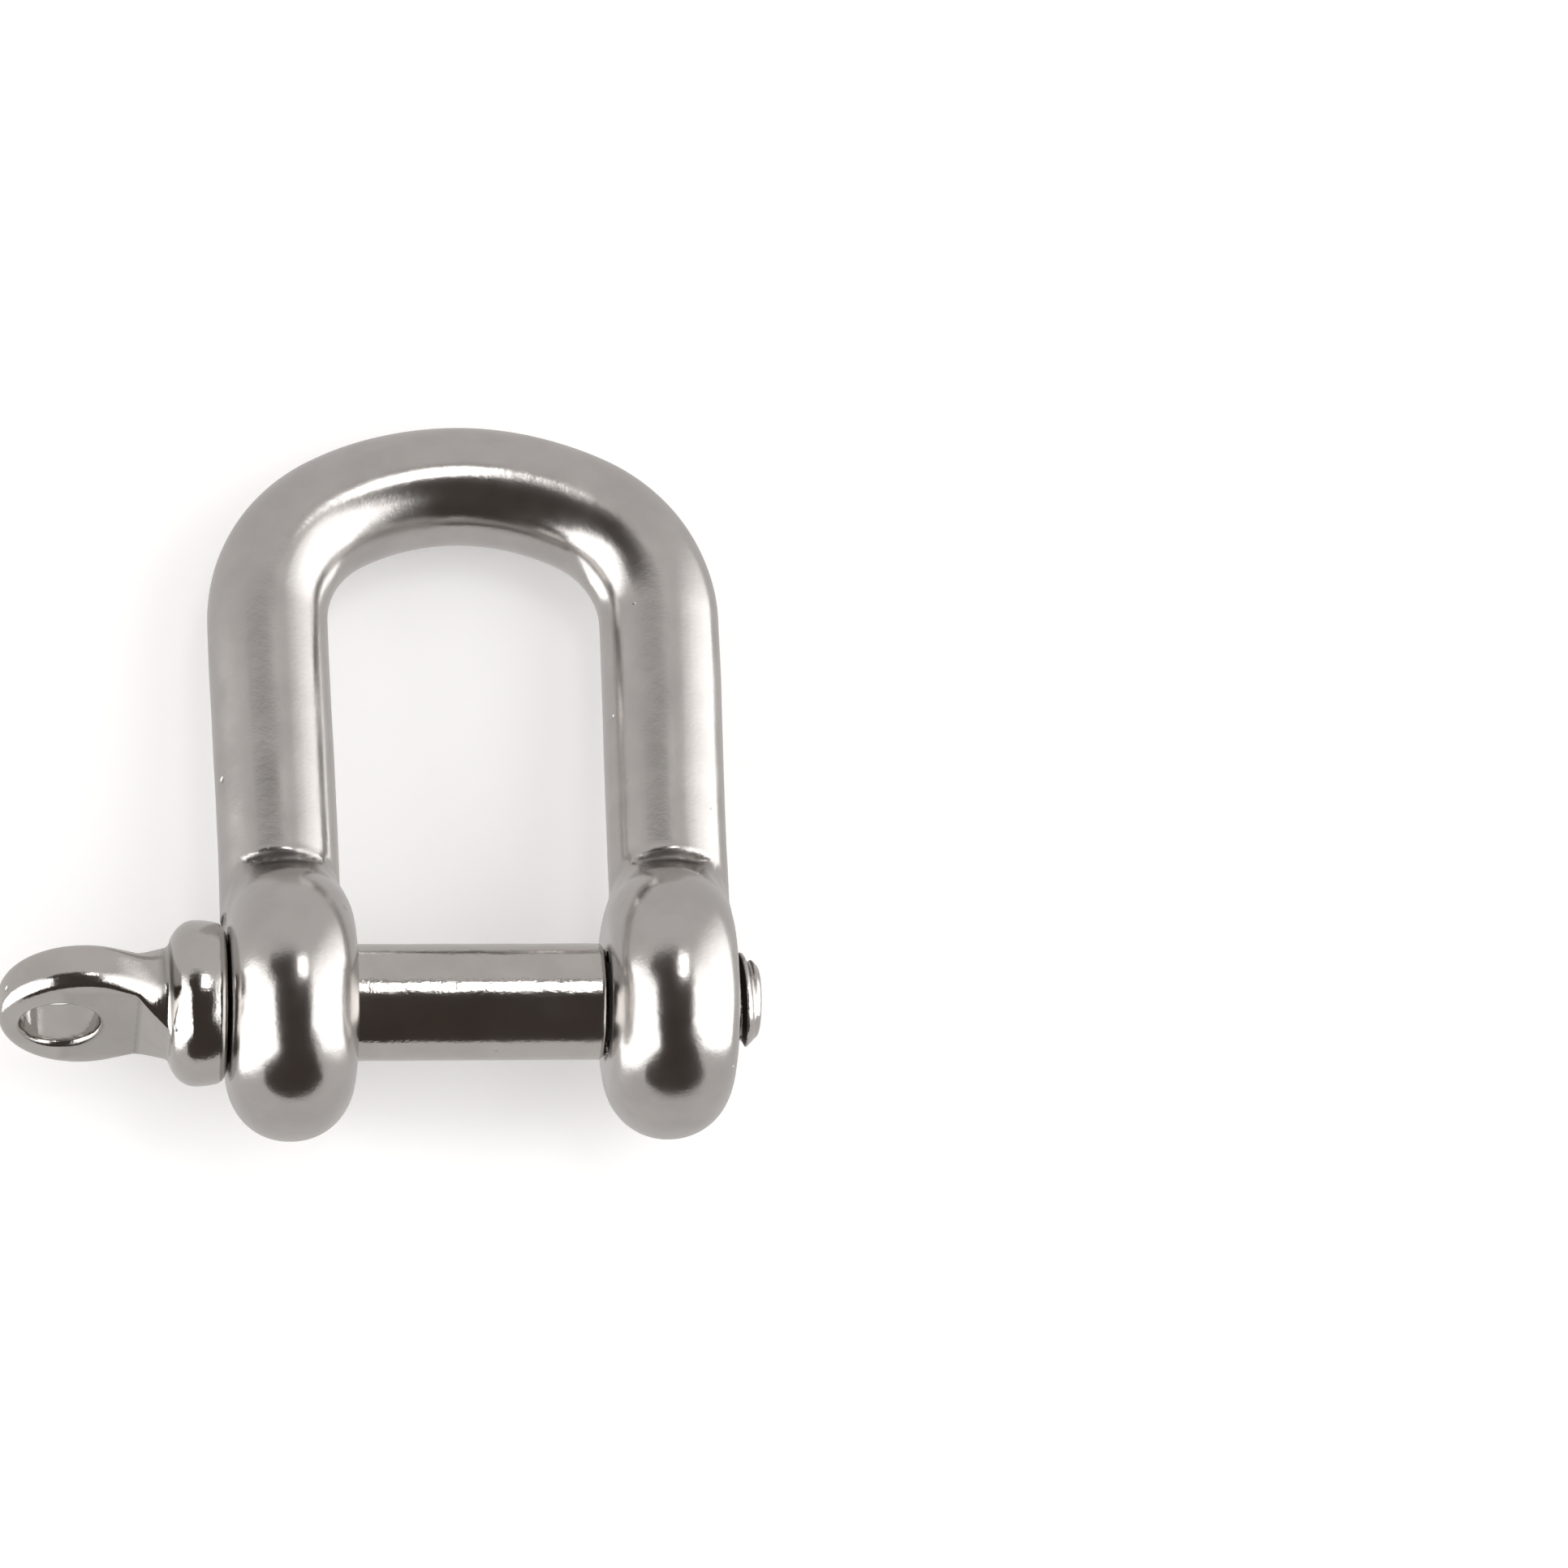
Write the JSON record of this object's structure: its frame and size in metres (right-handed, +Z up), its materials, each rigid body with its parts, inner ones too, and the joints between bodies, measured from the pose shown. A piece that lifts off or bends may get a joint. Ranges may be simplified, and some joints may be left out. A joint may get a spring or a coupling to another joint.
{
  "type": "screw pin dee shackle",
  "caption": "Small polished steel D shackle: a U-shaped bow with round ears, closed by a screw pin with a collar and a flat eye to turn and tie it by.",
  "frame": {"origin": "on the pin's axis, midway between the two ears", "axes": "+X along the pin, from its head to its threaded end; +Y from the pin to the crown of the bow; +Z up through the shackle's thickness, as it lies on its back"},
  "size_m": [0.039, 0.0394, 0.0142],
  "materials": {
    "cast_stainless": "tumble-polished stainless casting",
    "turned_stainless": "polished stainless, brighter on the turned shank and collar"
  },
  "bodies": {
    "bow": {"shackle_body": "cast_stainless"},
    "pin": {"screw_pin": "turned_stainless"}
  },
  "joints": [
    {"name": "pin_withdraw", "type": "slide", "parent": "bow", "child": "pin", "axis": [-1, 0, 0], "range_m": [0, 0.028]}
  ]
}
